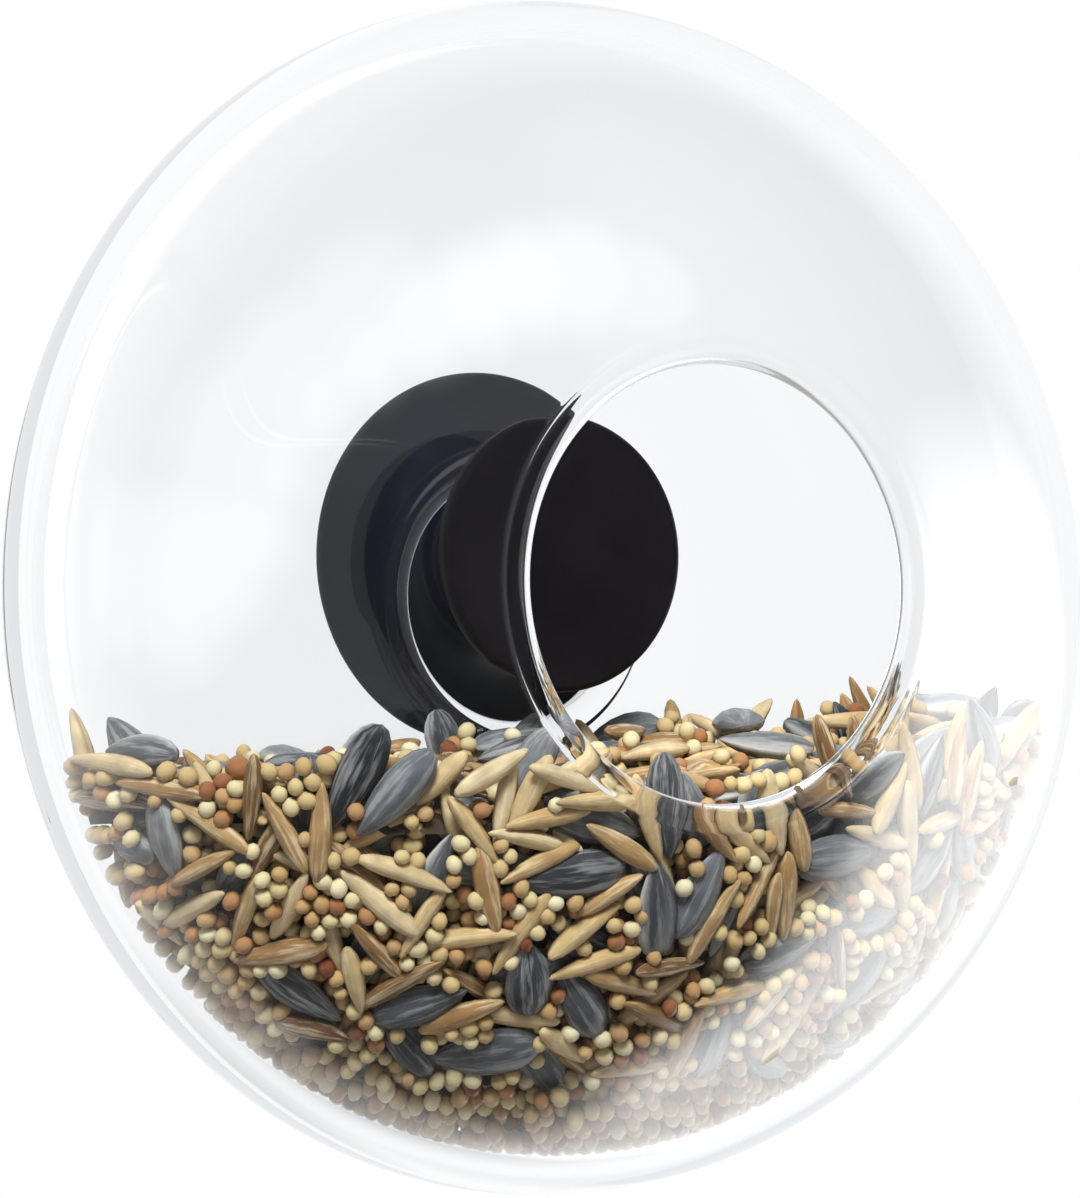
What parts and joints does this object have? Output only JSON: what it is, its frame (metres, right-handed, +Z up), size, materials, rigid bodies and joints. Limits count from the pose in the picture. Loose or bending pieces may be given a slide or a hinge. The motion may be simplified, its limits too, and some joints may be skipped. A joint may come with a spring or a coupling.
{
  "type": "window bird feeder",
  "caption": "Blown glass globe with a round front opening, part filled with mixed seed, that hangs on the neck of a suction cup behind a round knob.",
  "frame": {"origin": "on the suction cup's axis, in the plane of the window pane that the cup is pressed on", "axes": "+Y points into the window pane, -Y out to the bird, +Z up, +X to the right as seen from the front"},
  "size_m": [0.15, 0.062, 0.15],
  "materials": {
    "blown_glass": "clear, fire polished",
    "cup_rubber": "satin black",
    "knob": "satin black",
    "mixed_grain": "loose millet and grain",
    "striped_husk": "dry striped husk",
    "oat_husk": "dry golden husk"
  },
  "bodies": {
    "hanger": {"suction_cup": "cup_rubber", "retaining_knob": "knob"},
    "globe": {"glass_globe": "blown_glass", "seed_bed": "mixed_grain", "sunflower_seed_01": "striped_husk", "sunflower_seed_02": "striped_husk", "sunflower_seed_03": "striped_husk", "sunflower_seed_04": "striped_husk", "sunflower_seed_05": "striped_husk", "sunflower_seed_06": "striped_husk", "sunflower_seed_07": "striped_husk", "sunflower_seed_08": "striped_husk", "sunflower_seed_09": "striped_husk", "sunflower_seed_10": "striped_husk", "oat_grain_01": "oat_husk", "oat_grain_02": "oat_husk", "oat_grain_03": "oat_husk", "oat_grain_04": "oat_husk", "oat_grain_05": "oat_husk", "oat_grain_06": "oat_husk", "oat_grain_07": "oat_husk", "oat_grain_08": "oat_husk", "oat_grain_09": "oat_husk", "oat_grain_10": "oat_husk"}
  },
  "joints": [
    {"name": "globe_swing", "type": "hinge", "parent": "hanger", "child": "globe", "pos_m": [0, -0.0195, 0], "axis": [0, 1, 0], "continuous": true}
  ]
}
